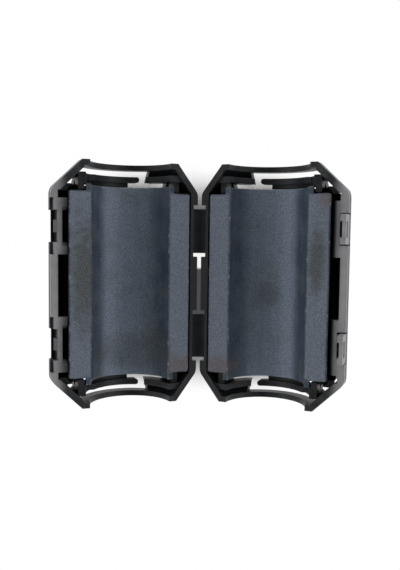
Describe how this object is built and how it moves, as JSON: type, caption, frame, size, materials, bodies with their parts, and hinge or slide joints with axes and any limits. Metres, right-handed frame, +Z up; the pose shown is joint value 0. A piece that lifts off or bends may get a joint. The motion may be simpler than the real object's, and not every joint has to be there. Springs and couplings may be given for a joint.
{
  "type": "clip-on ferrite core",
  "caption": "Clip-on ferrite suppressor for a round cable, laid open: two half cores in hinged plastic case halves with latches at one side.",
  "frame": {"origin": "middle of the footprint at the level on which the two half barrels lie, straight under the hinge line", "axes": "+X across from the hinge to the latch side of the half with the loops, +Y along the cable, +Z up out of the open V"},
  "size_m": [0.0388, 0.0324, 0.015],
  "materials": {
    "case_plastic": "black moulded polyamide, satin, a little greyer on the rims",
    "ferrite": "matt blue-grey sintered ferrite with ground faces"
  },
  "bodies": {
    "lug_half": {"case_half_lugs": "case_plastic", "core_half_left": "ferrite", "hinge_strap_upper": "case_plastic", "hinge_strap_lower": "case_plastic"},
    "loop_half": {"case_half_loops": "case_plastic", "core_half_right": "ferrite"}
  },
  "joints": [
    {"name": "case_hinge", "type": "hinge", "parent": "lug_half", "child": "loop_half", "pos_m": [0, 0, 0.00579], "axis": [0, -1, 0], "range_deg": [-44, 136], "deforming": ["hinge_strap_upper", "hinge_strap_lower"]}
  ]
}
